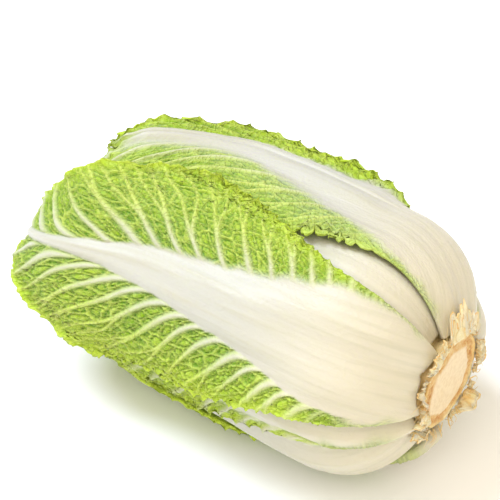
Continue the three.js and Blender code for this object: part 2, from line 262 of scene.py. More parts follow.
def noise(x, y, seed):
    """Smooth noise from -1 to 1: hashed values at whole numbers, eased between them."""
    i, j = np.floor(x), np.floor(y)
    s, t = x - i, y - j
    s, t = s * s * (3 - 2 * s), t * t * (3 - 2 * t)
    low = mix(hashed(i, j, seed), hashed(i + 1, j, seed), s)
    high = mix(hashed(i, j + 1, seed), hashed(i + 1, j + 1, seed), s)
    return 2 * mix(low, high, t) - 1


def rough(x, y, seed, octaves=3):
    """Noise added to itself at twice the fineness and half the strength."""
    return sum(noise(x * 2**n, y * 2**n, seed + n) / 2**n for n in range(octaves))


def cells(x, y, seed):
    """Distance to the nearest wall between cells round scattered points, and the cell's own
    number from 0 to 1. The wall is where the two nearest points are equally far."""
    i, j = np.floor(x), np.floor(y)
    first, second = np.full(x.shape, 9.0), np.full(x.shape, 9.0)
    number = np.zeros(x.shape)
    for di in (-1, 0, 1):
        for dj in (-1, 0, 1):
            ci, cj = i + di, j + dj
            px = ci + 0.5 + 0.8 * (hashed(ci, cj, seed) - 0.5)
            py = cj + 0.5 + 0.8 * (hashed(ci, cj, seed + 5) - 0.5)
            far = np.hypot(px - x, py - y)
            nearer = far < first
            second = np.where(nearer, first, np.minimum(second, far))
            number = np.where(nearer, hashed(ci, cj, seed + 9), number)
            first = np.where(nearer, far, first)
    return (second - first) / 2, number


# ---- the stack of leaves -------------------------------------------------------------------
def leaf_list():
    """Every leaf, outermost first, with what it doesn't state filled in."""
    inner = [
        dict(
            node=f"inner_leaf_{n + 1:02d}",
            centre=INNER_START + GOLDEN_ANGLE * n,
            end=INNER_ENDS[2 * n // INNER_LEAVES],
            depth=(n + 1) / INNER_LEAVES,
            grid=INNER_GRIDS[n >= FINER_INNER_LEAVES],
        )
        for n in range(INNER_LEAVES)
    ]
    made = [{**PLAIN_LEAF, **leaf} for leaf in OUTER_LEAVES + inner]
    for n, leaf in enumerate(made):
        leaf["seed"] = 11 + 17 * n
    return made


def half_angle(leaf, v, side):
    """Half the leaf's angle on one side: a stalk that eases out into the blade."""
    grown = smoothstep(v, *WIDENS_V)
    near, far = (
        mix(LEAF_HALF_STALK * stalk, LEAF_HALF_BLADE * blade, grown)
        for stalk, blade in (leaf["near"], leaf["far"])
    )
    return np.where(side > 0, near, far) * (1 + INNER_WRAP * leaf["depth"])


def midrib_angle(leaf, v):
    return leaf["centre"] + leaf["bend"] * smoothstep(v, *BEND_V)


def leaf_end(leaf, across):
    """The v where the blade ends, which draws back from the tip towards the blade's sides."""
    away = np.abs(across)
    near, far = leaf["droop"]
    droop = np.where(across < 0, far, near)
    return leaf["end"] - np.where(droop > 0, droop * away**2, TIP_DROOP * away**3)


def rib_half(leaf, v):
    """Half the midrib's width in millimetres, narrower on the inner leaves. The more even a leaf's
    midrib is, the nearer it stays to one width."""
    half = np.interp(v, RIB_V, RIB_HALF) ** (1 - leaf["even"]) * EVEN_HALF ** leaf["even"]
    return half * (1 - INNER_NARROWING * leaf["depth"])


def thickness(leaf, arc, v):
    """A blade, and on it a flat-topped midrib that falls away at its sides."""
    half = rib_half(leaf, v)
    rib = mix(RIB_STALK, RIB_TIP, smoothstep(v, *RIB_THINS_V)) * (1 - INNER_THINNING * leaf["depth"])
    return BLADE_THICKNESS + rib * (1 - smoothstep(np.abs(arc), RIB_SIDE[0] * half, RIB_SIDE[1] * half))


def stack_leaves(leaves, lifted):
    """Lays the leaves on the bud from the inside out. Each lies on the highest of what is near
    it, softened, and the stack rises to its outside wherever it covers."""
    stack = np.full((ROUND, ALONG), BUD_HEIGHT)
    for leaf in reversed(leaves):
        under = windowed(windowed(stack, BRIDGE, highest), SOFTEN, average) + LEAF_GAP
        lift = leaf["lift"] if lifted else 0
        leaf["inside"] = under * (1 + lift * smoothstep(FIELD_V, *LIFT_V))
        away = wrap(FIELD_ANGLE - midrib_angle(leaf, FIELD_V))
        _, radius = form(FIELD_V, leaf["inside"])
        outside = leaf["inside"] + thickness(leaf, np.radians(away) * radius, FIELD_V)
        across = away / half_angle(leaf, FIELD_V, away)
        leaf["covers"] = (np.abs(across) < 1) & (FIELD_V < leaf_end(leaf, np.clip(across, -1, 1)))
        stack = np.where(leaf["covers"], np.maximum(stack, outside), stack)
    covered = np.zeros((ROUND, ALONG))
    for leaf in leaves:
        leaf["covered"] = windowed(windowed(covered, COVER_SOFTEN, highest), COVER_SOFTEN, average)
        covered = np.maximum(covered, leaf["covers"])
    return stack


LEAVES = leaf_list()
PLAIN = windowed(stack_leaves(LEAVES, False), ENVELOPE_SOFTEN, average)
FULL = int(FULL_V * (ALONG - 1))
SCALE = HEAD_RADIUS / np.where(np.arange(ALONG) > FULL, PLAIN[:, [FULL]], PLAIN)
HEAD_TOP = windowed(stack_leaves(LEAVES, True), BRIDGE, highest)
RESTING = next(leaf for leaf in LEAVES if leaf["node"] == "under_leaf")


def place(angle, v, h):
    """Points of the head: heights are scaled to the head, placed by its form, and the underside
    is pressed flat, up to the inside of the leaf that the head rests on."""
    turn = np.radians(angle)
    to_head = read(SCALE, angle, v)
    x, radius = form(v, h * to_head)
    _, resting = form(v, read(RESTING["inside"], angle, v) * to_head)
    down = np.maximum(0, -np.cos(turn) * resting) / (AXIS_Z - PRESSED_THICKNESS)
    radius = radius * (1 + down**PRESS_SHARPNESS) ** (-1 / PRESS_SHARPNESS)
    points = round_axis(x, radius, turn)
    points[..., 2] = np.maximum(points[..., 2], 0)
    return points


def clear_of_stem(angle, heights):
    """The first v at which a layer, given as a field, clears the stem, for each angle."""
    vs = np.linspace(0, BASE_V, 90)[:, None]
    v, turn = np.broadcast_arrays(vs, angle)
    x, radius = form(v, read(heights, turn, v) * read(SCALE, turn, v))
    clear = radius > stem_radius(x) + LEAF_GAP
    return np.where(clear.any(0), vs[np.argmax(clear, 0), 0], BASE_V)


# ---- what shows on a leaf ------------------------------------------------------------------
VEIN_STEPS = 199
VEIN_LINE = np.linspace(0, 1, VEIN_STEPS + 1)
VEIN_SPACING = np.interp(VEIN_LINE, [0.1, 0.3, 0.5, 0.6, 0.75], [9, 14, 16, 19, 24])
VEIN_COUNT = np.concatenate([[0], np.cumsum(MM_PER_V / VEIN_STEPS / VEIN_SPACING[1:])])
VEIN_LEAN_V = [0.2, 0.3, 0.42, 0.5, 0.57, 0.62, 0.7, 0.8, 0.9]
VEIN_LEAN = [0.32, 0.4, 0.47, 0.6, 0.78, 0.95, 1.05, 1.15, 1.2]
VEIN_ROOT = 0.75  # where the veins begin, as a share of the midrib's half width
VEIN_SWING = (15.0, 7.0)  # how far they run along the near and far sides of the midrib
SWING_FADE = 5.0
VEIN_WIDTH = (1.9, 0.55)  # beside the midrib, and where they are thinnest
VEIN_THIN_AT = 58
FORK_AT, FORK_SPREAD = 10, 26  # the least distance of a fork from the midrib, and what may be added
FORK_RUN, FORK_SPLIT = 28, 0.34
NET_WIDTH, NET_HEIGHT = 0.55, 0.75  # the walls between the cells
LACE_SIZE, LACE_WIDTH, LACE_HEIGHT = 0.38, 0.4, 0.5  # a finer net, its cells a share of the others
CREASE_OFF, CREASE_WIDTH, CREASE_DEPTH = 1.1, 0.7, 0.75  # beside the walls
PUFF_HEIGHT = 0.45  # of a cell's middle
RIDGE_SPACING, RIDGE_HEIGHT = 10.5, 0.16  # along the midrib
MARGIN_REACH = 9.0
BLADE_REACH = 60  # about how far the blade's end reaches to each side
TIP_LOBE_LENGTH, TIP_LOBE_DEPTH = 6.0, 6.0
SIDE_LOBE_LENGTH, SIDE_LOBE_SHARE = 8.0, 0.07
RUFFLE_LENGTH = 11


def veins(leaf, v, arc):
    """The lateral veins: numbered lines that leave the midrib nearly along it and then lean out
    to the margin, each thinning as it goes, and forking at a distance of its own. Returns how
    much of a vein each point has, its width, and coordinates that follow the veins."""
    seed, side = leaf["seed"], np.where(arc > 0, 3.0, 0.0)
    out = np.maximum(0, np.abs(arc) - VEIN_ROOT * rib_half(leaf, v))
    swing = np.where(arc > 0, *VEIN_SWING)
    lean = np.interp(v, VEIN_LEAN_V, VEIN_LEAN) * leaf["lean"]
    fade = np.exp(-out / SWING_FADE)
    back = swing * (1 - fade) + lean * out
    slope = swing / SWING_FADE * fade + lean
    origin = v - back / MM_PER_V + 0.011 * noise(v * 11, arc / 30, seed)
    count = np.interp(origin, VEIN_LINE, VEIN_COUNT) / leaf["spread"] + side * 7.3 + seed * 0.37
    spacing = np.interp(origin, VEIN_LINE, VEIN_SPACING) * leaf["spread"]
    number = np.round(count)
    own = hashed(number, side, seed)
    off = count - number + 0.22 * (own - 0.5)
    square = spacing / np.sqrt(1 + slope**2)
    forks_at = FORK_AT + FORK_SPREAD * hashed(number, side, seed + 2)
    split = FORK_SPLIT * smoothstep(out, forks_at, forks_at + FORK_RUN)
    turns = np.where(hashed(number, side, seed + 4) > 0.5, 1.0, -1.0)
    width = mix(*VEIN_WIDTH, smoothstep(out, 0, VEIN_THIN_AT)) * mix(0.8, 1.2, own)
    main = np.exp(-((off * square - 0.5 * turns * split * square) / width) ** 2)
    branch = np.exp(-((off * square + turns * split * square) / (0.75 * width)) ** 2)
    branch = branch * smoothstep(out, forks_at, forks_at + 3)
    strength = smoothstep(out, 0, 3) * smoothstep(origin, 0.1, 0.2)
    return np.maximum(main, branch) * strength, width, count * 17.0, out


def relief(leaf, v, arc, gaps, look):
    """Height added to a leaf's outside, in millimetres, and its colour masks: how white, how
    much vein, how much painted shade darkens it in the creases (with some random tone of the
    cells), and how near the margin, which pales and glows there partly as painted light let
    through. The gaps are how far a point is from the margin, from its two sides and from its end."""
    seed = leaf["seed"]
    margin, side_gap, end_gap = gaps
    half = rib_half(leaf, v)
    half = half * np.where(arc < 0, leaf["pale"][1], leaf["pale"][0])
    wobble = 1.6 * rough(v * 22, arc / 30, seed + 1) * smoothstep(half, 2, 12)
    soft = np.where(arc < 0, mix(2.0, 8.0, smoothstep(half, 5, 30)), mix(13.0, 2.5, leaf["sweep"]))
    white = 1 - smoothstep(np.abs(arc) + wobble, half - 0.5 * soft, half + 0.6 * soft)
    white = np.maximum(white, 1 - smoothstep(v, 0.12, 0.17 + 0.05 * noise(arc / 9, v * 9, seed)))
    hem = np.exp(-((side_gap / (leaf["hem"] * (1 + 0.5 * noise(v * 40, 0.0, seed + 18)))) ** 2))
    white = white * (1 - mix(0.55, 0.9, smoothstep(v, 0.1, 0.25)) * hem * smoothstep(v, 0.05, 0.1))
    white = white * mix(0.15, 1, smoothstep(end_gap, 3, 16))
    blade = 1 - white
    white = np.maximum(white, leaf["faded"] * (arc > 0) * (1 - smoothstep(arc, half, 2.5 * half)))
    vein, width, line, out = veins(leaf, v, arc)
    vein = vein * np.where(arc < 0, 1 - smoothstep(leaf["flare"], 6, 12), 1.0)
    size = look.cell_size
    wave_x = 0.4 * noise(line / 11, out / 11, seed + 21)
    wave_y = 0.4 * noise(line / 11, out / 11, seed + 22)
    wall, cell = cells(line / size + wave_x, out / size + wave_y, seed + 3)
    wall = wall * size
    small = LACE_SIZE * size
    fine, _ = cells(line / small + wave_y, out / small + wave_x, seed + 6)
    fine = fine * LACE_SIZE * size
    net = np.exp(-((wall / NET_WIDTH) ** 2))
    lace = np.exp(-((fine / LACE_WIDTH) ** 2))
    calm = 1 - smoothstep(vein, 0.05, 0.5)
    crease = np.exp(-(((wall - CREASE_OFF) / CREASE_WIDTH) ** 2)) * calm
    crease = crease + 0.9 * np.exp(-(((vein - 0.22) / 0.16) ** 2))
    puff = smoothstep(wall, 1.0, 3.2) * calm
    crumple = rough(line / 4.5, out / 4.0, seed + 8, 2)
    near_edge = np.exp(-margin / MARGIN_REACH)
    height = blade * (
        look.vein_height * vein * mix(1.0, 1.5, smoothstep(width, 0.6, 1.6))
        + NET_HEIGHT * net * calm
        + LACE_HEIGHT * lace * calm
        + 0.35 * rough(line / 1.9, out / 1.7, seed + 9, 2) * calm
        - CREASE_DEPTH * crease * smoothstep(margin, 0, 6)
        + PUFF_HEIGHT * puff
        + (0.4 + 0.15 * near_edge) * crumple * calm
        + 0.7 * noise(v * 9, arc / 34, seed + 12)
    )
    ridges = np.cos(arc * 2 * np.pi / RIDGE_SPACING + 3.5 * noise(v * 3, arc / 17, seed + 14))
    height = height + white * (RIDGE_HEIGHT * ridges + 0.3 * noise(v * 7, arc / 16, seed + 15))
    white = np.maximum(white, vein * (1 - smoothstep(out, 4, 34)) * 0.85)
    veined = np.clip(np.maximum(vein, 0.4 * net + 0.3 * lace), 0, 1) * (1 - 0.3 * near_edge)
    # Painted shade: the green is darkened in the creases beside the walls and veins and in the dips of the
    # crumple; the cell's own number adds some random tone.
    crease_shade_and_tone = np.clip(crease + 0.25 * (cell - 0.5) + 0.3 * smoothstep(-crumple, 0, 0.9), 0, 1)
    crease_shade_and_tone = crease_shade_and_tone * (1 - veined) * smoothstep(margin, -2, 6)
    return height, np.clip(stacked(white, veined, crease_shade_and_tone, near_edge), 0, 1)


def lobes(along, length, seed):
    """Rounded lobes with sharp notches between them: a root of the size of a cosine, whose phase
    wanders, with smaller lobes on it."""
    phase = np.pi * along / length + 2.2 * noise(along / 27, 0.0, seed)
    return 0.8 * np.abs(np.cos(phase)) ** 0.8 + 0.2 * np.cos(2.7 * phase + 1) ** 2


def leaf_points(leaf, look):
    """The outside and inside of a leaf, on a grid of rows along it and columns across it, its
    colour masks, and its own flat coordinates. Rows run from clear of the stem to the blade's
    end, and columns keep a share of the half angle, so the grid fans out as the leaf does. The
    margin is ruffled by waves that shift it along as well as up."""
    rows, columns = grid_size(leaf)
    seed = leaf["seed"]
    across = np.linspace(-1, 1, columns)[None, :]
    stalk = LEAF_HALF_STALK * np.where(across[0] > 0, leaf["near"][0], leaf["far"][0])
    start = clear_of_stem(leaf["centre"] + across[0] * stalk, leaf["inside"])[None, :]
    share = np.linspace(0, 1, rows)[:, None]
    ragged = lobes(across * BLADE_REACH, TIP_LOBE_LENGTH, seed + 30) - 0.5
    ragged = ragged * TIP_LOBE_DEPTH / MM_PER_V * leaf["frill"]
    v = mix(start, leaf_end(leaf, across) + ragged, share)
    side_lobes = lobes(v * MM_PER_V, SIDE_LOBE_LENGTH, seed + 31 + np.sign(across))
    frill = SIDE_LOBE_SHARE * (side_lobes - 0.4) * leaf["frill"]
    frill = (frill + 0.03 * noise(v * 9, np.sign(across), seed + 32)) * smoothstep(v, 0.14, 0.36)
    away = across * half_angle(leaf, v, across) * (1 + frill * np.abs(across) ** 6)
    angle = midrib_angle(leaf, v) + away
    inside = read(leaf["inside"], angle, v)
    scale = read(SCALE, angle, v)
    _, radius = form(v, inside * scale)
    arc = np.radians(away) * radius
    side_gap = (1 - np.abs(across)) * np.radians(half_angle(leaf, v, across)) * radius
    end_gap = (leaf_end(leaf, across) + ragged - v) * MM_PER_V
    margin = np.minimum(side_gap + 30 * (1 - smoothstep(v, 0.02, 0.24)), end_gap)
    margin = np.maximum(margin, 0)
    free = 1 - read(leaf["covered"], angle, v)
    height, masks = relief(leaf, v, arc, (margin, side_gap, end_gap), look)
    thick = thickness(leaf, arc, v)
    thick = np.minimum(thick, MARGIN_THICKNESS + thick * smoothstep(margin, 0, 12))
    ruffled = np.exp(-margin / 6) * leaf["frill"] * free * smoothstep(v, 0.16, 0.36)
    phase = 2 * np.pi * (v * MM_PER_V + np.abs(arc)) / RUFFLE_LENGTH
    phase = phase + 3 * noise(v * 16, arc / 20, seed + 33)
    curl = look.frill_height * (0.25 + 0.35 * np.sin(phase) + 0.3 * noise(v * 50, arc / 9, seed + 34))
    flare = leaf["flare"] * np.exp(-side_gap / 12) * free * smoothstep(v, 0.24, 0.34)
    flare = flare * np.where(across < 0, 1.0, 0.25) + leaf["lip"] * np.exp(-end_gap / 9) * free
    rise = np.maximum(curl * ruffled + flare, 0)
    height = np.maximum(height, -1.4)
    top = inside + thick + (rise + height * mix(0.3, 1.0, free)) / scale
    low = inside + (rise + 0.6 * np.minimum(height, 0) * free) / scale
    low = np.minimum(low, top - 0.5 * MARGIN_THICKNESS / scale)
    flat = stacked(v * MM_PER_V, arc) * MM
    v = v + 1.3 / MM_PER_V * ruffled * np.cos(phase)
    swept = np.array(TIP_SWEEP) * leaf["sweep"]
    swept = swept * (smoothstep(v, *SWEEP_V) * smoothstep(across, -0.75, 0.2))[..., None]
    return place(angle, v, top) + swept, place(angle, v, low) + swept, masks, flat


def grid_size(leaf):
    """Rows and columns, both odd, so that every second one makes the inside."""
    part = 1.0
    return [int(n * part) // 2 * 2 + 1 for n in leaf["grid"]]


def quads(first, rows, columns, flipped=False):
    """The four corners of each square of a grid whose vertices start at first."""
    corner = first + (np.arange(rows - 1)[:, None] * columns + np.arange(columns - 1)[None, :]).ravel()
    square = np.stack([corner, corner + columns, corner + columns + 1, corner + 1], -1)
    return square[:, ::-1] if flipped else square


def rim(fine, coarse, flipped):
    """Triangles between an edge of the outside and the same edge of the inside, which has every
    second vertex: three to each step of the inside."""
    f0, f1, f2 = fine[:-2:2], fine[1::2], fine[2::2]
    c0, c1 = coarse[:-1], coarse[1:]
    faces = np.concatenate([np.stack(t, -1) for t in ((c0, f0, f1), (c0, f1, c1), (c1, f1, f2))])
    return faces[:, ::-1] if flipped else faces


def leaf_faces(rows, columns):
    """The outside, the inside at half its fineness, and the rim that closes them."""
    outer = np.arange(rows * columns).reshape(rows, columns)
    low_rows, low_columns = rows // 2 + 1, columns // 2 + 1
    inner = rows * columns + np.arange(low_rows * low_columns).reshape(low_rows, low_columns)
    squares = np.concatenate([
        quads(0, rows, columns),
        quads(rows * columns, low_rows, low_columns, flipped=True),
    ])
    edges = np.concatenate([
        rim(outer[0], inner[0], False),
        rim(outer[-1], inner[-1], True),
        rim(outer[:, 0], inner[:, 0], True),
        rim(outer[:, -1], inner[:, -1], False),
    ])
    return squares, edges


def halved(fine, coarse):
    """The values of the outside, then every second one of the inside."""
    size = fine.shape[-1]
    return np.concatenate([fine.reshape(-1, size), coarse[::2, ::2].reshape(-1, size)])


# ---- meshes --------------------------------------------------------------------------------
def new_piece(name, points, squares, triangles, material, masks, flat):
    """A mesh object at the origin from arrays: corners, faces, masks and flat coordinates."""
    mesh = bpy.data.meshes.new(name)
    loops = np.concatenate([squares.ravel(), triangles.ravel()]).astype(np.int32)
    sizes = np.concatenate([np.full(len(squares), 4), np.full(len(triangles), 3)])
    mesh.vertices.add(len(points))
    mesh.vertices.foreach_set("co", (points * MM).astype(np.float32).ravel())
    mesh.loops.add(len(loops))
    mesh.loops.foreach_set("vertex_index", loops)
    mesh.polygons.add(len(sizes))
    mesh.polygons.foreach_set("loop_start", (np.cumsum(sizes) - sizes).astype(np.int32))
    mesh.polygons.foreach_set("use_smooth", np.ones(len(sizes), bool))
    mesh.update(calc_edges=True)
    colours = mesh.attributes.new("masks", "FLOAT_COLOR", "POINT")
    colours.data.foreach_set("color", masks.astype(np.float32).ravel())
    layer = mesh.uv_layers.new(name="flat")
    layer.data.foreach_set("uv", flat[loops].astype(np.float32).ravel())
    mesh.materials.append(material)
    if mesh.validate():
        raise RuntimeError(f"{name} has faces that had to be mended")
    piece = bpy.data.objects.new(name, mesh)
    bpy.context.scene.collection.objects.link(piece)
    return piece


def new_sheet(name, sheet, material):
    """A piece from the points of its outside and inside, its masks and its flat coordinates."""
    outside, inside, masks, flat = sheet
    squares, edges = leaf_faces(*outside.shape[:2])
    points = halved(outside, inside)
    return new_piece(name, points, squares, edges, material, halved(masks, masks), halved(flat, flat))


def new_solid(name, solid, material, flipped=False):
    """A piece from the points of a tube whose ends are closed, its masks and flat coordinates."""
    points, masks, flat = (with_ends(grid) for grid in solid)
    squares, triangles = closed_faces(*solid[0].shape[:2], flipped=flipped)
    return new_piece(name, points, squares, triangles, material, masks, flat)


def add_leaf(leaf, look, material, slot):
    """Makes a leaf and puts it in place of its plain node."""
    piece = new_sheet("leaf_" + leaf["node"], leaf_points(leaf, look), material)
    seat(piece, slot, leaf["node"])


# ---- shader maths --------------------------------------------------------------------------
class Value:
    """A node's output that can be used in sums."""

    def __init__(self, shader, socket):
        self.shader = shader
        self.socket = socket

    def _math(self, operation, *inputs):
        sockets = dict(enumerate(inputs))
        return self.shader.node("ShaderNodeMath", {"operation": operation}, sockets)

    def __add__(self, other):
        return self._math("ADD", self, other)

    def __sub__(self, other):
        return self._math("SUBTRACT", self, other)

    def __rsub__(self, other):
        return self._math("SUBTRACT", other, self)

    def __mul__(self, other):
        return self._math("MULTIPLY", self, other)

    def __pow__(self, other):
        return self._math("POWER", self, other)

    __radd__ = __add__
    __rmul__ = __mul__

    def range(self, low, high, to_low=0.0, to_high=1.0):
        """The value eased from one range to another and clamped."""
        settings = {"interpolation_type": "SMOOTHSTEP"}
        sockets = {"Value": self, "From Min": low, "From Max": high, "To Min": to_low, "To Max": to_high}
        return self.shader.node("ShaderNodeMapRange", settings, sockets)


class Shader:
    """A material under construction."""

    def __init__(self, name):
        self.material = bpy.data.materials.new(name)
        self.material.use_nodes = True
        self.tree = self.material.node_tree
        self.tree.nodes.clear()

    def node(self, kind, settings=None, sockets=None, out=0):
        """Adds a node: its settings first, then its sockets' values or links."""
        made = self.tree.nodes.new(kind)
        for key, value in (settings or {}).items():
            setattr(made, key, value)
        for key, value in (sockets or {}).items():
            if isinstance(value, Value):
                self.tree.links.new(value.socket, made.inputs[key])
            else:
                made.inputs[key].default_value = value
        return Value(self, made.outputs[out])

    def blend(self, factor, a, b):
        """Colour a where the factor is 0 and colour b where it is 1."""
        sockets = {0: factor, 6: rgba(a), 7: rgba(b)}
        return self.node("ShaderNodeMix", {"data_type": "RGBA"}, sockets, out=2)

    def attribute(self, name, out="Color"):
        return self.node("ShaderNodeAttribute", {"attribute_name": name}, out=out)

    def separate(self, colour):
        """The red, green and blue of a colour."""
        first = self.node("ShaderNodeSeparateColor", None, {0: colour})
        outputs = first.socket.node.outputs
        return [Value(self, outputs[n]) for n in range(3)]

    def noise(self, vector, scale, detail=3.0):
        return self.node("ShaderNodeTexNoise", None, {"Vector": vector, "Scale": scale, "Detail": detail})

    def finish(self, colour, roughness, height, **constants):
        """A Principled surface with a bump, whose height is in metres."""
        normal = self.node("ShaderNodeBump", None, {"Height": height, "Distance": 1.0})
        sockets = {"Base Color": colour, "Roughness": roughness, "Normal": normal, **constants}
        surface = self.node("ShaderNodeBsdfPrincipled", None, sockets)
        output = self.tree.nodes.new("ShaderNodeOutputMaterial")
        self.tree.links.new(surface.socket, output.inputs["Surface"])
        return self.material


def rgba(colour):
    """A colour of three numbers with full alpha, or a value as it is."""
    return colour if isinstance(colour, Value) else (*colour, 1.0)


def moist(weight, radius, scale):
    """How much light runs inside the tissue, and how far for red, green and blue, in metres."""
    return {"Subsurface Weight": weight, "Subsurface Radius": radius, "Subsurface Scale": scale}


def leaf_material(name, look, paleness):
    """Leaf skin: a green blade darkened by painted shade in its creases and paler along its veins,
    paler and glowing at its margin, partly its own colour and partly painted light let through,
    running into a cream-white midrib with faint long streaks."""
    s = Shader(name)
    masks = s.attribute("masks")
    white, vein, crease_shade_and_tone = s.separate(masks)
    edge = s.attribute("masks", "Alpha")
    flat = s.node("ShaderNodeUVMap", {"uv_map": "flat"})
    where = s.node("ShaderNodeTexCoord", out="Object")
    patch = s.noise(where, 22.0, 2.0)
    speck = s.noise(flat, 420.0, 4.0)
    web = s.node(
        "ShaderNodeTexVoronoi", {"feature": "DISTANCE_TO_EDGE"},
        {"Vector": flat, "Scale": 330.0}, out="Distance",
    )
    thread = web.range(0.0, 0.16, 1.0, 0.0)
    green = s.blend(patch.range(0.35, 0.65), look.blade_colour, look.blade_light_colour)
    # Painted shade: the blade is darkened towards the crease colour where the mask says.
    green = s.blend(crease_shade_and_tone * speck.range(0.2, 0.5) * 0.95, green, look.blade_crease_shade_colour)
    green = s.blend(thread * 0.22, green, look.vein_colour)
    green = s.blend(vein * 0.78, green, look.vein_colour)
    # Paler towards the margin: partly the margin's own yellow-green, partly painted light standing for light
    # let through the thin margin.
    green = s.blend(edge * 0.6, green, look.margin_tone_and_glow_colour)
    green = s.blend(paleness, green, look.heart_colour)
    long = {"Vector": flat, "Scale": (14.0, 260.0, 1.0)}
    streak = s.noise(s.node("ShaderNodeMapping", {"vector_type": "POINT"}, long), 1.0, 3.0)
    along = s.node("ShaderNodeSeparateXYZ", None, {0: flat})
    cream = s.blend(along.range(0.02, 0.14), look.stalk_base_colour, look.stalk_colour)
    cream = s.blend(streak.range(0.42, 0.7) * 0.36, cream, look.stalk_streak_colour)
    colour = s.blend(white, green, cream)
    roughness = white.range(0.0, 1.0, 0.5, 0.36) + speck * 0.12
    wrinkle = thread * (1 - white) * 0.0005 + speck * 0.0004 + streak * white * 0.0005
    # Painted glow: the margin emits light of its own, standing for light let through the thin margin.
    glow = s.blend(edge * (1 - white), (0.0, 0.0, 0.0), look.margin_tone_and_glow_colour)
    shine = {"Emission Color": glow, "Emission Strength": look.margin_glow, "Specular IOR Level": 0.35}
    return s.finish(colour, roughness, wrinkle, **shine, **moist(0.22, (0.8, 1.0, 0.4), 0.004))


def stem_material(look):
    """The sawn stem: pale pith, a brown ring of drying tissue, and a yellowed skin."""
    s = Shader("stem_skin")
    masks = s.attribute("masks")
    pith, ring, groove = s.separate(masks)
    where = s.node("ShaderNodeTexCoord", out="Object")
    patch = s.noise(where, 60.0, 3.0)
    grain = s.noise(where, 420.0, 5.0)
    speck = s.noise(where, 900.0, 2.0)
    skin = s.blend(patch.range(0.35, 0.65), look.skin_colour, look.skin_dry_colour)
    face = s.blend(grain.range(0.35, 0.7) * 0.5, look.pith_colour, look.pith_shade_colour)
    brown = s.blend(patch.range(0.3, 0.7), look.ring_colour, look.ring_dark_colour)
    brown = s.blend(speck.range(0.5, 0.75) * 0.6, brown, look.skin_colour)
    colour = s.blend(pith, skin, face)
    colour = s.blend(ring, colour, brown)
    # Darker towards the ring's darkest colour in the scars' grooves on the side and in the torn hollows of
    # the face.
    colour = s.blend(groove * 0.6, colour, look.ring_dark_colour)
    height = grain * 0.0006 + speck * ring * 0.0006
    inside = moist(0.15, (1.0, 0.7, 0.4), 0.004)
    return s.finish(colour, ring.range(0.0, 1.0, 0.55, 0.8), height, **inside)


def torn_material(look):
    """Torn stalk flesh: pale and wet in its middle, drying to orange along its broken edges."""
    s = Shader("torn_flesh")
    masks = s.attribute("masks")
    dry, rib, pale = s.separate(masks)
    where = s.node("ShaderNodeTexCoord", out="Object")
    patch = s.noise(where, 90.0, 4.0)
    grain = s.noise(where, 700.0, 3.0)
    flesh = s.blend(patch.range(0.3, 0.7), look.torn_colour, look.skin_colour)
    flesh = s.blend(pale * 0.8, flesh, look.stalk_base_colour)
    flesh = s.blend(dry * patch.range(0.3, 0.55), flesh, look.ring_colour)
    flesh = s.blend(rib * 0.55, flesh, look.skin_dry_colour)
    height = grain * 0.0005 + rib * 0.0004
    inside = moist(0.25, (1.0, 0.8, 0.4), 0.003)
    return s.finish(flesh, grain.range(0.2, 0.8, 0.45, 0.75), height, **inside)


def floor_material(look):
    """Matt white card with a trace of grain."""
    s = Shader("white_card")
    where = s.node("ShaderNodeTexCoord", out="Object")
    grain = s.noise(where, 300.0, 4.0)
    soft = s.noise(where, 1.4, 2.0)
    colour = s.blend(soft.range(0.3, 0.7), look.floor_colour, look.floor_cool_colour)
    return s.finish(colour, grain.range(0.0, 1.0, 0.75, 0.85), grain * 0.00004)


# ---- the bud, the stem and what is torn round it -------------------------------------------
def closed_faces(rows, columns, first=0, flipped=False):
    """Faces of a tube whose columns meet, with its two ends drawn to a point each. The points
    come after the grid, first the one at row 0."""
    grid = first + np.arange(rows * columns).reshape(rows, columns)
    turned = np.roll(grid, -1, axis=1)
    squares = np.stack([grid[:-1], grid[1:], turned[1:], turned[:-1]], -1).reshape(-1, 4)
    start, end = first + rows * columns, first + rows * columns + 1
    triangles = np.concatenate([
        np.stack([np.full(columns, start), grid[0], turned[0]], -1),
        np.stack([np.full(columns, end), turned[-1], grid[-1]], -1),
    ])
    if flipped:
        squares, triangles = squares[:, ::-1], triangles[:, ::-1]
    return squares, triangles


def with_ends(grid):
    """A grid's points, and the middles of its first and last rows."""
    size = grid.shape[-1]
    ends = np.stack([grid[0].mean(0), grid[-1].mean(0)])
    return np.concatenate([grid.reshape(-1, size), ends])


BUD_ROWS, BUD_COLUMNS = 160, 180
BUD_FROM = 0.32  # the v where the bud begins
BUD_LEAVES = 5  # round the bud
BUD_TURN = 150  # degrees that they wind along it
BUD_FOLD, BUD_RIB, BUD_SINK = 1.3, 0.25, 1.6


def bud_shape():
    """The bud is a layer of the head, closed at both ends. Small leaves wind over it: a saw-tooth
    in angle, turned along the bud, steps it out by a little at each leaf's edge."""
    v = np.linspace(BUD_FROM, 1, BUD_ROWS)[:, None]
    angle = np.arange(BUD_COLUMNS)[None, :] * (360 / BUD_COLUMNS)
    wound = angle + BUD_TURN * v + 12 * noise(v * 6, angle / 60 % 6, 3)
    tooth = (wound / (360 / BUD_LEAVES)) % 1
    fold = smoothstep(tooth, 0.0, 0.12) * (1 - smoothstep(tooth, 0.86, 1.0))
    rib = np.cos(tooth * 2 * np.pi * 4) ** 2
    h = BUD_HEIGHT - BUD_SINK + BUD_FOLD * fold + BUD_RIB * rib
    v, angle = np.broadcast_arrays(v, angle)
    # Painted shade darkens the grooves between the small leaves, and the last mask gives the whole bud a
    # little of the margin's paler colour and painted glow.
    masks = stacked(0.55 * fold, 0.7 * rib, 0.4 * (1 - fold), 0.3)
    return place(angle, v, h), masks, stacked(v * MM_PER_V, angle * 0.3) * MM


STEM_ROWS, FACE_ROWS, STEM_COLUMNS = 90, 70, 220
RIM_WAVER = 1.1
SCAR_DEPTH, FINE_SCAR_DEPTH = 0.7, 0.4
RING_DIP, PITH_SWELL = 0.6, 0.3


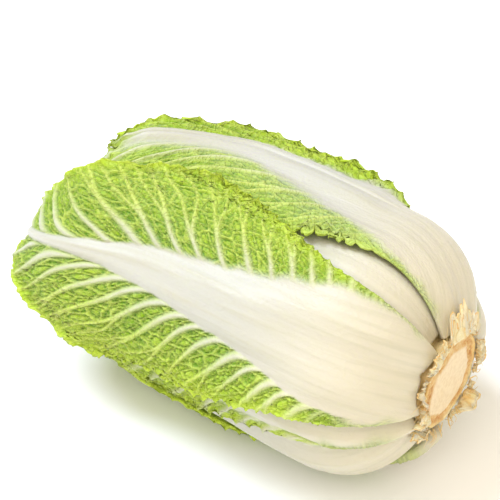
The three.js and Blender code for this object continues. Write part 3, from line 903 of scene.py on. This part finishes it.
def stem_shape():
    """A cone whose side has rings of old leaf scars, turned in over its rim to a sawn face. Its
    outline wavers with the angle, and the face dips at the brown ring and swells at the pith."""
    angle = np.radians(np.arange(STEM_COLUMNS) * (360 / STEM_COLUMNS))[None, :]
    around_x, around_y = 3 * np.cos(angle), 3 * np.sin(angle)
    along = np.linspace(0, 1, STEM_ROWS)[:, None]
    x = STEM_FACE_X - STEM_LENGTH * (1 - along) - 0.8
    waver = RIM_WAVER * rough(around_x + 7, around_y + 5, 40, 3)
    scars = SCAR_DEPTH * noise(x / 2.6 + 1.4 * np.cos(angle * 2), around_x * 2 + 20, 41)
    scars = scars + FINE_SCAR_DEPTH * noise(x / 1.2, around_y * 4 + 30, 42)
    near_face = smoothstep(along, 0.75, 1)
    radius = stem_radius(x) - 0.9 + near_face * waver + scars
    inward = np.linspace(1, 0.02, FACE_ROWS)[:, None]
    face_radius = (radius[-1:] - 0.5) * inward
    wander = 0.05 * rough(around_x + 2, around_y + 9, 43, 4)
    share = inward + wander * inward
    ring = smoothstep(share, 0.7, 0.78) * (1 - smoothstep(share, 0.92, 1.0))
    outer = smoothstep(share, 0.9, 1.0)
    up, aside = face_radius * np.cos(angle), face_radius * np.sin(angle)
    torn = rough(up / 2.2, aside / 2.2, 44, 3)
    saw = noise(up / 9, aside / 1.6, 45)
    face_x = STEM_FACE_X - 0.7 + PITH_SWELL * (1 - inward**2)
    face_x = face_x - RING_DIP * ring * (1 + torn) - 0.5 * outer * torn + 0.12 * saw
    all_x = np.concatenate([x + 0 * angle, np.minimum(face_x + 0 * angle, STEM_FACE_X + 0.4)])
    all_r = np.concatenate([radius, face_radius])
    slant = SAW_SLANT * all_r * (np.sin(angle) + np.cos(angle))
    all_x = all_x + slant * smoothstep(all_x, STEM_FACE_X - SAW_SLANT_DEPTH, STEM_FACE_X - STEM_CHAMFER)
    blank = np.zeros_like(radius)
    pith = np.concatenate([blank, 1 - smoothstep(share, 0.7, 0.8) + 0 * angle])
    rim_brown = 0.5 * near_face * smoothstep(waver, 0, 1) + blank
    brown = np.concatenate([rim_brown, ring * (0.75 + 0.35 * torn)])
    groove = np.concatenate([smoothstep(-scars, 0.2, 1.0), 0.5 * outer * smoothstep(-torn, 0.2, 0.9)])
    masks = np.clip(stacked(pith, brown, groove, 1), 0, 1)
    return round_axis(all_x, all_r, angle), masks, stacked(all_x, all_r * angle) * MM


TORN_ROWS, TORN_COLUMNS = 61, 81
TORN_GAP = 1.6  # from the stem, and from the leaves
TORN_STANDS = 0.22  # the share of a torn base's run that stands beside the stem
# Each one's middle and half width in degrees, how far it runs out and how far it stands up.
TORN_BASES = [
    dict(centre=-22, half=27, reach=21, stand=4.0),
    dict(centre=27, half=17, reach=10, stand=3.0),
    dict(centre=62, half=13, reach=6, stand=6.0),
    dict(centre=92, half=13, reach=10, stand=2.5),
    dict(centre=128, half=18, reach=10, stand=3.0),
    dict(centre=-150, half=22, reach=4.5, stand=1.5),
    dict(centre=-95, half=22, reach=5, stand=2.0),
]


def torn_shape(torn, seed):
    """A torn base is a sheet carried along a bent path: it stands beside the stem, turns through
    the groove and runs out over the leaves, to an edge torn ragged by noise. Its thickness is
    laid off square to the path on both sides."""
    across = np.linspace(-1, 1, TORN_COLUMNS)[None, :]
    run = np.linspace(0, 1, TORN_ROWS)[:, None]
    angle = torn["centre"] + across * torn["half"] * (1 + 0.1 * noise(run * 4, across * 0, seed))
    jag = 0.72 + 0.3 * rough(across * 4.5, across * 0 + seed, seed + 1, 4) - 0.25 * across**4
    stand = torn["stand"] * (0.7 + 0.9 * rough(across * 5, across * 0, seed + 2, 4))
    reach = torn["reach"] * jag
    turned = smoothstep(run, 0.12, 0.4)
    out = np.maximum(0, run - TORN_STANDS) / (1 - TORN_STANDS) * reach
    radius = STEM_RADIUS + TORN_GAP + out
    vs = np.linspace(0, 0.2, 60)
    base = [form(vs, float(read(HEAD_TOP, a, 0.03)) * read(SCALE, np.full(60, a), vs)) for a in angle[0]]
    base_x = np.stack([np.interp(radius[:, n], r, x) for n, (x, r) in enumerate(base)], 1)
    lie = base_x + TORN_GAP + 1.5 * (run**3) * (1 + noise(across * 4, run * 3, seed + 3))
    groove_x = base_x[0:1] + TORN_GAP
    rise = np.maximum(0, TORN_STANDS - run) / TORN_STANDS
    upright = groove_x + rise * (STEM_FACE_X - groove_x - 2.5 + 0.35 * stand)
    x = mix(upright, lie, turned) + 0.35 * rough(run * 9, across * 6, seed + 4)
    radius = radius + 0.4 * rough(run * 7, across * 5 + 9, seed + 5)
    slope_x, slope_r = np.gradient(x, axis=0), np.gradient(radius, axis=0)
    size = np.hypot(slope_x, slope_r) + 1e-6
    edge = np.minimum(np.minimum(run, 1 - run) * reach.mean() * 1.4, (1 - np.abs(across)) * 12)
    ribs = np.cos(across * torn["half"] * 0.8 + 5 * noise(run * 3, across * 3, seed + 6))
    thick = 0.25 + 0.75 * smoothstep(edge, 0, 3) + 0.12 * ribs
    turn = np.radians(angle)

    def layer(side):
        half = side * thick / size
        return round_axis(x + half * slope_r, radius - half * slope_x, turn)

    dry = 1 - smoothstep(edge, 0.05, 0.7 + 0.9 * noise(run * 9, across * 9, seed + 7))
    pale = smoothstep(noise(run * 3, across * 3, seed + 8), -0.1, 0.6)
    masks = np.clip(stacked(dry, smoothstep(ribs, 0.4, 1.0), pale, 1), 0, 1)
    return layer(1), layer(-1), masks, stacked(run * reach, across * torn["half"]) * MM


FIBRES = 60
FIBRE_STEPS, FIBRE_SIDES = 9, 5
FIBRE_LENGTH = (7, 19)
FIBRE_WIDTH = (0.22, 0.5)


def fibre_shape(random):
    """A fibre is a thin tapering tube along a curve that leaves the rim of the stem, leans out
    over the leaves and droops, one half turn of a sine to each side. Its section is a ring
    square to the stem's radius."""
    t = np.linspace(0, 1, FIBRE_STEPS)[:, None]
    angle = random.uniform(0, 2 * np.pi)
    length = random.uniform(*FIBRE_LENGTH)
    lean = random.uniform(0.2, 0.9)
    sway = random.uniform(-0.35, 0.35) * np.sin(np.pi * t)
    turn = angle + sway * length / 40
    radius = STEM_RADIUS - 0.5 + length * lean * t
    rise = length * (0.25 * (1 - lean) * np.sin(np.pi * t * 0.8) - 0.15 * lean * t**2)
    x = STEM_FACE_X - STEM_CHAMFER + rise + 2.5 * t
    width = random.uniform(*FIBRE_WIDTH) * (1 - 0.75 * t)
    around = np.arange(FIBRE_SIDES)[None, :] * (2 * np.pi / FIBRE_SIDES)
    return round_axis(x + width * np.sin(around), radius, turn + width * np.cos(around) / radius)


# ---- settings ------------------------------------------------------------------------------
INNER_PALENESS = (0.3, 0.6, 0.9)  # of the outer, middle and innermost third of the inner leaves
BUD_PALENESS = 0.85


def paint(red, green, blue):
    """A colour as seen on a screen, from 0 to 255, turned into linear light."""
    return tuple(
        c / 12.92 if c <= 0.04045 else ((c + 0.055) / 1.055) ** 2.4
        for c in (red / 255, green / 255, blue / 255)
    )


def colour(name, description, *screen):
    light = paint(*screen)
    return FloatVectorProperty(
        name=name, description=description, subtype="COLOR", size=3, min=0, max=1, default=light
    )


def number(name, description, default, high, low=0.0):
    return FloatProperty(name=name, description=description, default=default, min=low, max=high)


def turning(name, description, degrees):
    radians = math.radians(degrees)
    return FloatProperty(name=name, description=description, subtype="ANGLE", default=radians)


class CabbageLook(bpy.types.PropertyGroup):
    """Colours and fine sizes of the leaves and the stem."""

    blade_colour: colour("Blade", "Green of the blade", 134, 173, 6)
    blade_light_colour: colour("Blade, light", "Paler patches of the blade", 164, 194, 44)
    # Painted shade: the green that the creases are darkened to.
    blade_crease_shade_colour: colour("Blade, sunken", "Green in the creases", 60, 116, 0)
    vein_colour: colour("Vein", "Raised veins of the blade", 198, 208, 116)
    # Partly the margin's own green, partly painted light let through it; also the colour of its painted
    # glow.
    margin_tone_and_glow_colour: colour("Margin", "Frilly margin of the blade", 172, 194, 48)
    heart_colour: colour("Heart", "Pale inner leaves", 200, 200, 126)
    stalk_colour: colour("Midrib", "White of the midrib", 191, 191, 182)
    stalk_base_colour: colour("Midrib base", "Midrib where it meets the stem", 209, 201, 178)
    stalk_streak_colour: colour("Midrib streaks", "Faint long streaks of the midrib", 182, 178, 152)
    pith_colour: colour("Pith", "Middle of the sawn stem", 230, 210, 172)
    pith_shade_colour: colour("Pith, shaded", "Darker grain of the pith", 212, 184, 138)
    ring_colour: colour("Ring", "Drying ring of the sawn stem", 220, 172, 104)
    ring_dark_colour: colour("Ring, dark", "Darkest drying tissue", 184, 122, 56)
    skin_colour: colour("Stem skin", "Skin of the stem", 224, 210, 158)
    skin_dry_colour: colour("Stem skin, dry", "Dry skin of the stem", 220, 186, 116)
    torn_colour: colour("Torn flesh", "Torn leaf bases", 230, 218, 184)
    floor_colour: colour("Floor", "Card under the head", 250, 250, 250)
    floor_cool_colour: colour("Floor, cool", "Cooler patches of the card", 243, 247, 250)
    # Strength of the margin's painted glow.
    margin_glow: number("Glow of the margin", "Light that a thin margin lets through", 0.2, 1)
    cell_size: number("Cell size", "Across a cell of the vein net, in millimetres", 7.5, 20, 2)
    vein_height: number("Vein height", "How far a vein stands up, in millimetres", 1.1, 4)
    frill_height: number("Frill height", "How far the margin stands up, in millimetres", 3.4, 12)


class CabbageStage(bpy.types.PropertyGroup):
    """The camera and the lights."""

    azimuth: turning("Azimuth", "Where the camera stands round the head", 39.82)
    elevation: turning("Elevation", "How far the camera looks down", 40.05)
    roll: turning("Roll", "Turn of the camera about its own view", -3.63)
    distance: FloatProperty(
        name="Distance", description="From the camera to what it looks at", subtype="DISTANCE", default=0.977
    )
    lens: number("Lens", "Focal length, in millimetres", 117.8, 500, 10)
    key: number("Key light", "Strength of the soft sun", 2.9, 20)
    side: number("Side light", "Strength of the weak second sun", 1.9, 20)
    fill: number("Fill light", "Strength of the surrounding light", 0.62, 20)
    key_softness: turning("Key softness", "Angle that the key light fills", 28)
    side_softness: turning("Side softness", "Angle that the side light fills", 80)


# ---- operators -----------------------------------------------------------------------------
class CABBAGE_OT_outer_leaves(bpy.types.Operator):
    """Makes the eight outer leaves, with their midribs, veins and frilled margins"""

    bl_idname = "cabbage.outer_leaves"
    bl_label = "Outer leaves"

    def execute(self, context):
        look = context.scene.cabbage_look
        material = leaf_material("outer_leaf_skin", look, 0.0)
        for leaf in LEAVES[: len(OUTER_LEAVES)]:
            add_leaf(leaf, look, material, "outer_leaf")
        return {"FINISHED"}


class CABBAGE_OT_inner_leaves(bpy.types.Operator):
    """Makes the inner leaves, paler the deeper they lie"""

    bl_idname = "cabbage.inner_leaves"
    bl_label = "Inner leaves"

    def execute(self, context):
        look = context.scene.cabbage_look
        shades = [
            leaf_material(f"inner_leaf_skin_{n + 1}", look, paleness)
            for n, paleness in enumerate(INNER_PALENESS)
        ]
        for n, leaf in enumerate(LEAVES[len(OUTER_LEAVES) :]):
            add_leaf(leaf, look, shades[n * len(shades) // INNER_LEAVES], "inner_leaf")
        return {"FINISHED"}


class CABBAGE_OT_bud(bpy.types.Operator):
    """Makes the bud of small folded leaves in the middle of the head"""

    bl_idname = "cabbage.bud"
    bl_label = "Bud"

    def execute(self, context):
        skin = leaf_material("bud_skin", context.scene.cabbage_look, BUD_PALENESS)
        seat(new_solid("bud_of_small_leaves", bud_shape(), skin), "inner_leaf", "bud")
        return {"FINISHED"}


class CABBAGE_OT_stem(bpy.types.Operator):
    """Makes the stem with its scarred side and sawn face"""

    bl_idname = "cabbage.stem"
    bl_label = "Stem"

    def execute(self, context):
        skin = stem_material(context.scene.cabbage_look)
        seat(new_solid("cut_stem", stem_shape(), skin, flipped=True), "stem", "stem")
        return {"FINISHED"}


class CABBAGE_OT_torn_bases(bpy.types.Operator):
    """Makes the torn bases of the leaves that were trimmed off, and the fibres round the stem"""

    bl_idname = "cabbage.torn_bases"
    bl_label = "Torn bases and fibres"

    def execute(self, context):
        material = torn_material(context.scene.cabbage_look)
        for n, torn in enumerate(TORN_BASES):
            piece = new_sheet(f"torn_base_{n + 1}", torn_shape(torn, 60 + 11 * n), material)
            seat(piece, "torn_base", f"torn_leaf_base_{n + 1}")
        random = np.random.default_rng(5)
        tubes = [with_ends(fibre_shape(random)) for _ in range(FIBRES)]
        faces = [
            closed_faces(FIBRE_STEPS, FIBRE_SIDES, n * len(tubes[0]), flipped=True) for n in range(FIBRES)
        ]
        points = np.concatenate(tubes)
        dry = np.tile([0.8, 0.6, 0.2, 1.0], (len(points), 1))
        piece = new_piece(
            "stem_fibres", points, np.concatenate([f[0] for f in faces]),
            np.concatenate([f[1] for f in faces]), material, dry, points[:, :2] * MM,
        )
        seat(piece, "torn_base")
        return {"FINISHED"}


class CABBAGE_OT_stage(bpy.types.Operator):
    """Makes the floor, the lights and the camera"""

    bl_idname = "cabbage.stage"
    bl_label = "Stage"

    def execute(self, context):
        scene, stage = context.scene, context.scene.cabbage_stage
        add_floor(scene)
        add_lights(scene, stage)
        add_camera(scene, stage)
        scene.view_settings.view_transform = "Standard"
        scene.view_settings.look = "None"
        return {"FINISHED"}


def seat(piece, slot, *nodes):
    """The piece stands for the nodes and moves with the head. The slot is not used."""
    if nodes:
        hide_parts(*nodes)
    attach(piece, "root")


FLOOR_HALF, FLOOR_LINES = 2600, 27
FLOOR_DROP, FLOOR_WAVE = 0.15, 0.02
KEY_TOWARDS, KEY_TINT = (0.47, 0.1, -0.87), (0.74, 0.84, 1.0)
SIDE_TOWARDS, SIDE_TINT = (-0.35, 0.5, -0.79), (1.0, 0.93, 0.82)
ROOM_TINT = (1.0, 0.89, 0.73, 1.0)
AIM_FROM_FACE, AIM_ABOVE_AXIS = 141.6, 31.5  # the camera looks at this point over the axis
SENSOR_WIDTH = 36


def add_floor(scene):
    """A level card, faintly uneven, just under the head."""
    across = np.linspace(-FLOOR_HALF, FLOOR_HALF, FLOOR_LINES)
    x, y = np.meshgrid(across, across, indexing="ij")
    z = -FLOOR_DROP - FLOOR_WAVE * (1 + noise(x / 400, y / 400, 90))
    points = stacked(x, y, z).reshape(-1, 3)
    squares, no_triangles = quads(0, FLOOR_LINES, FLOOR_LINES), np.zeros((0, 3), int)
    card, masks = floor_material(scene.cabbage_look), np.ones((len(points), 4))
    new_piece("floor", points, squares, no_triangles, card, masks, points[:, :2] * MM)


def add_sun(scene, name, towards, strength, softness, tint):
    """A far light that shines one way, as soft as the angle it fills."""
    light = bpy.data.lights.new(name, "SUN")
    light.energy = strength
    light.angle = softness
    light.color = tint
    lamp = bpy.data.objects.new(name, light)
    lamp.rotation_euler = Vector(towards).to_track_quat("-Z", "Y").to_euler()
    scene.collection.objects.link(lamp)


def add_lights(scene, stage):
    """A soft cool key from above the tips, a weak warm one from the stem's side, and a warm light
    all round."""
    add_sun(scene, "key", KEY_TOWARDS, stage.key, stage.key_softness, KEY_TINT)
    add_sun(scene, "side", SIDE_TOWARDS, stage.side, stage.side_softness, SIDE_TINT)
    world = bpy.data.worlds.new("studio")
    world.use_nodes = True
    background = world.node_tree.nodes["Background"]
    background.inputs["Color"].default_value = ROOM_TINT
    background.inputs["Strength"].default_value = stage.fill
    scene.world = world


def add_camera(scene, stage):
    """Looks at a point above the head's middle, from the distance and angles of the stage."""
    a, e, r = stage.azimuth, stage.elevation, stage.roll
    back = Vector((math.sin(a) * math.cos(e), -math.cos(a) * math.cos(e), math.sin(e)))
    level = Vector((math.cos(a), math.sin(a), 0))
    upright = back.cross(level)
    right = math.cos(r) * level + math.sin(r) * upright
    up = math.cos(r) * upright - math.sin(r) * level
    target = Vector((STEM_FACE_X - AIM_FROM_FACE, AXIS_Y, AXIS_Z + AIM_ABOVE_AXIS)) * MM
    turn = Matrix((right, up, back)).transposed()
    camera = bpy.data.objects.new("camera", bpy.data.cameras.new("camera"))
    camera.data.lens = stage.lens
    camera.data.sensor_width = SENSOR_WIDTH
    camera.matrix_world = Matrix.LocRotScale(target + back * stage.distance, turn, None)
    scene.collection.objects.link(camera)
    scene.camera = camera


# ---- panel and registration ----------------------------------------------------------------
class CABBAGE_PT_panel(bpy.types.Panel):
    """Lists what the cabbage is made of"""

    bl_idname = "CABBAGE_PT_panel"
    bl_label = "Napa cabbage"
    bl_space_type = "VIEW_3D"
    bl_region_type = "UI"
    bl_category = "Cabbage"

    def draw(self, context):
        for step in STEPS:
            self.layout.operator("cabbage." + step)
        for group in (context.scene.cabbage_look, context.scene.cabbage_stage):
            for key in group.bl_rna.properties.keys():
                if key not in ("rna_type", "name"):
                    self.layout.prop(group, key)


STEPS = ("outer_leaves", "inner_leaves", "bud", "stem", "torn_bases", "stage")
CLASSES = (
    CabbageLook,
    CabbageStage,
    CABBAGE_OT_outer_leaves,
    CABBAGE_OT_inner_leaves,
    CABBAGE_OT_bud,
    CABBAGE_OT_stem,
    CABBAGE_OT_torn_bases,
    CABBAGE_OT_stage,
    CABBAGE_PT_panel,
)


def register():
    for cls in CLASSES:
        bpy.utils.register_class(cls)
    bpy.types.Scene.cabbage_look = PointerProperty(type=CabbageLook)
    bpy.types.Scene.cabbage_stage = PointerProperty(type=CabbageStage)


def unregister():
    del bpy.types.Scene.cabbage_look
    del bpy.types.Scene.cabbage_stage
    for cls in reversed(CLASSES):
        bpy.utils.unregister_class(cls)


def main():
    register()
    for step in STEPS:
        getattr(bpy.ops.cabbage, step)()
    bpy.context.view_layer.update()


if __name__ == "__main__":
    main()
